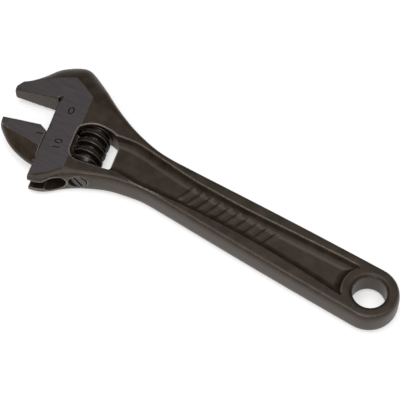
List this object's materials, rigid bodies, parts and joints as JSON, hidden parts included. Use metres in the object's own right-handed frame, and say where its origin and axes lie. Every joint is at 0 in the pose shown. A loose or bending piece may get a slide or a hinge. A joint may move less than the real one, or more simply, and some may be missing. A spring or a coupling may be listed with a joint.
{
  "type": "adjustable wrench",
  "caption": "Pocket-size adjustable wrench: forged handle and fixed jaw, sliding moving jaw driven by a thumb-turned knurled worm, ring end for hanging.",
  "frame": {"origin": "middle of the fixed jaw's gripping face, half way through its thickness", "axes": "+X along the handle to the hanging hole, +Y towards the back of the fixed jaw, +Z out of the face that carries the scale marks"},
  "size_m": [0.1106, 0.0348, 0.008],
  "materials": {
    "forged_steel": "dark phosphate, satin, with ground head faces",
    "black_steel": "blackened, glossy",
    "spring_steel": "bright drawn wire"
  },
  "bodies": {
    "wrench_body": {"body": "forged_steel", "knurl_pin": "black_steel", "knurl_spring": "spring_steel"},
    "jaw": {"moving_jaw": "forged_steel"},
    "adjuster": {"knurl": "black_steel"}
  },
  "joints": [
    {"name": "knurl_spin", "type": "hinge", "parent": "wrench_body", "child": "adjuster", "pos_m": [0.0169, 0.00453, 0], "axis": [-0.2588, 0.9659, 0], "range_deg": [-636, 1149]},
    {"name": "jaw_slide", "type": "slide", "parent": "wrench_body", "child": "jaw", "axis": [-0.2588, 0.9659, 0], "range_m": [-0.0046, 0.0083]}
  ],
  "couplings": [
    {"joint": "knurl_spin", "follows": "jaw_slide", "rad_per_m": 2416.6}
  ]
}
